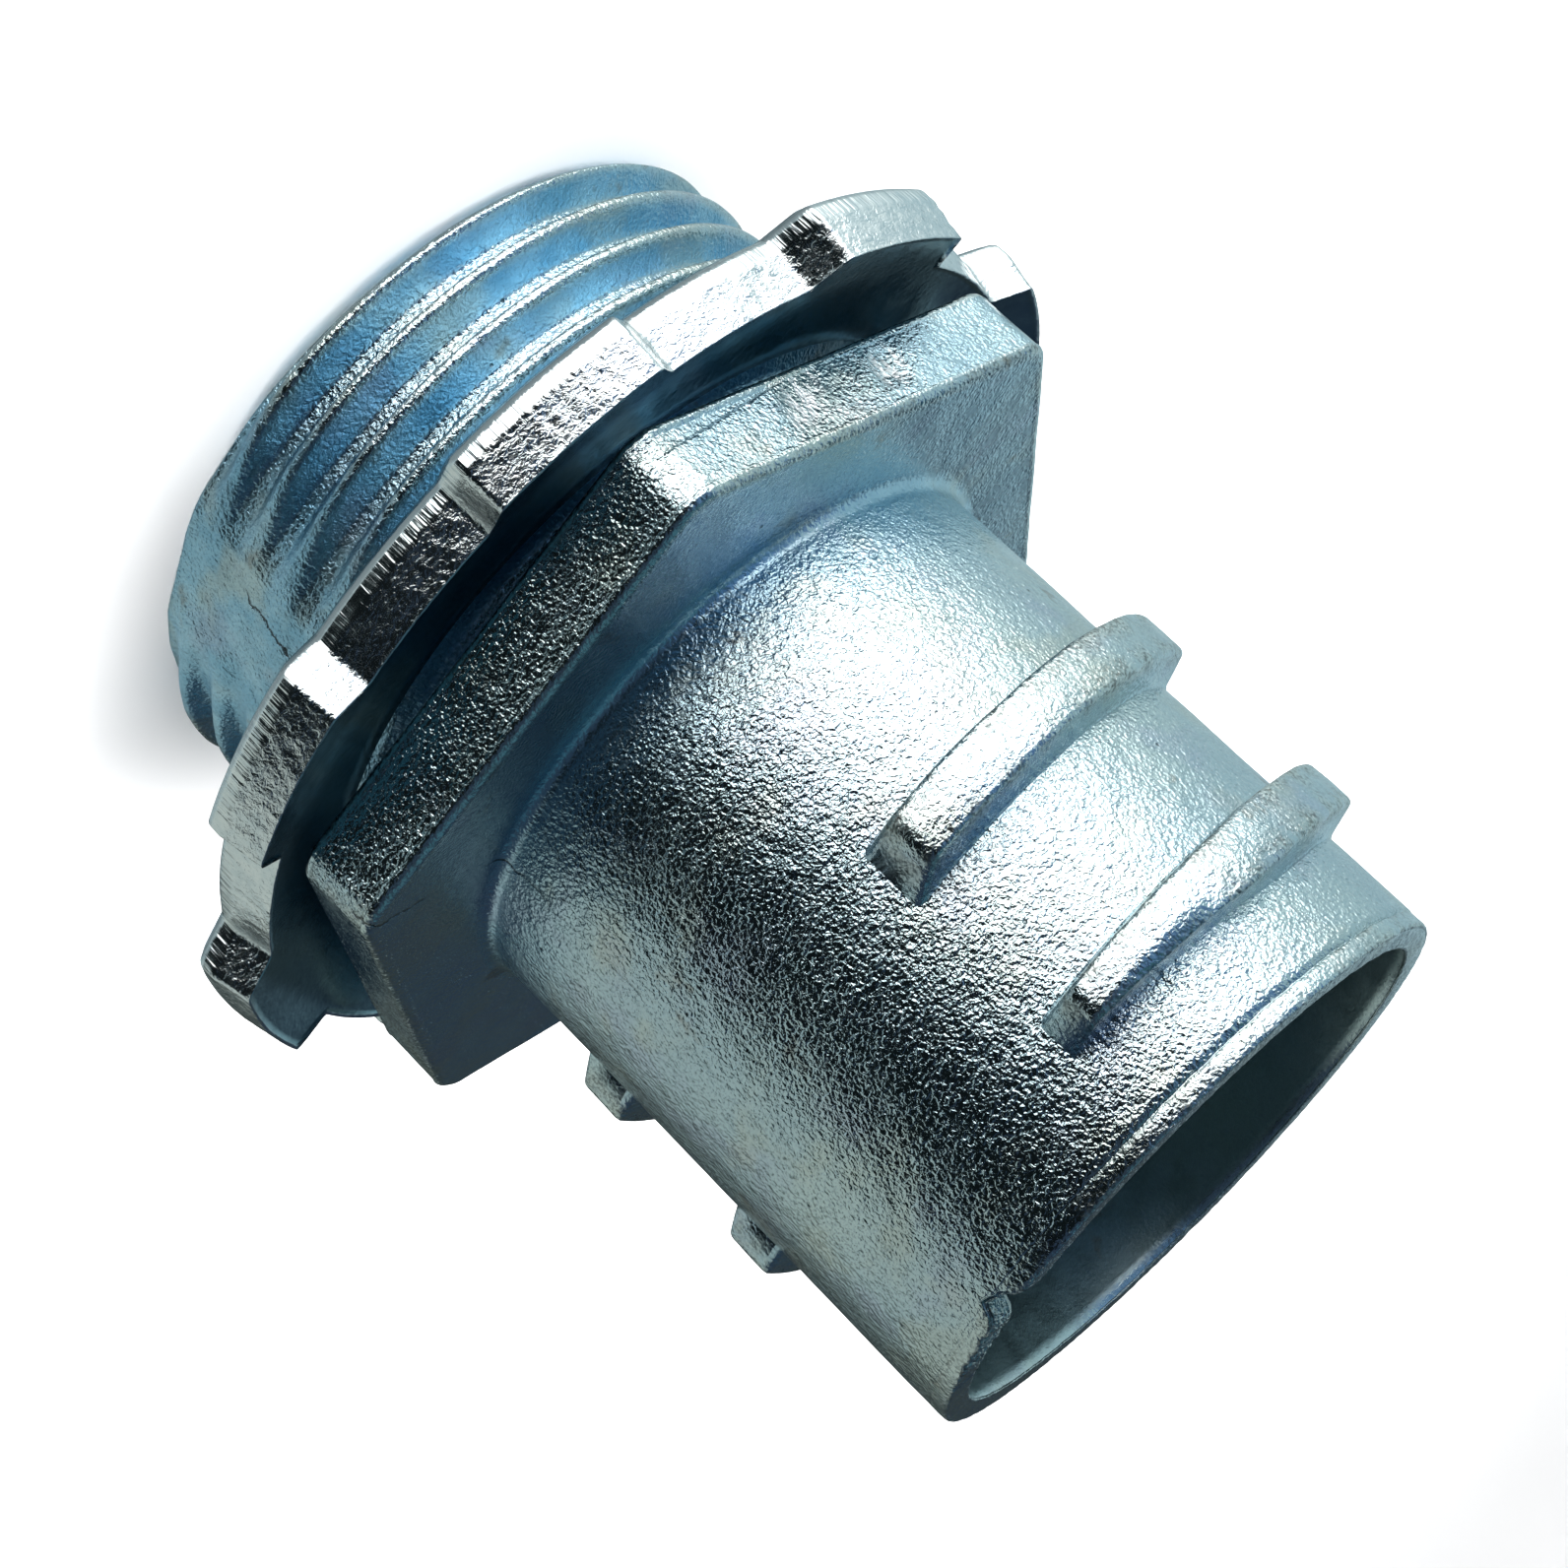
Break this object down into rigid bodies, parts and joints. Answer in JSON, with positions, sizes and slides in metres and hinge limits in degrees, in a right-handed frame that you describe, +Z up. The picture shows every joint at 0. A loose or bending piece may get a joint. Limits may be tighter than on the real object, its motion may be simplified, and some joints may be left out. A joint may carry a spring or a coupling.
{
  "type": "screw-in flexible conduit connector with locknut",
  "caption": "Cast conduit connector: male thread, hexagon flange and spiral-ribbed spigot for flexible metal conduit, with a lugged locknut that clamps it in a box hole.",
  "frame": {"origin": "centre of the flange's seating face, on the axis of the through hole", "axes": "+Z up the ribbed spigot, away from the thread; +X through a corner of the hexagon, in the plane where the mould halves part; +Y across two flats"},
  "size_m": [0.0472, 0.0472, 0.0466],
  "materials": {
    "connector_body": "cast zinc alloy, zinc plated and blue passivated, fine grained skin",
    "locknut": "stamped steel, bright zinc plated and blue passivated, sheared edge"
  },
  "bodies": {
    "fitting": {"connector_body": "connector_body"},
    "nut": {"locknut": "locknut"}
  },
  "joints": [
    {"name": "locknut_travel", "type": "slide", "parent": "fitting", "child": "nut", "axis": [0, 0, -1], "range_m": [0, 0.01]}
  ]
}
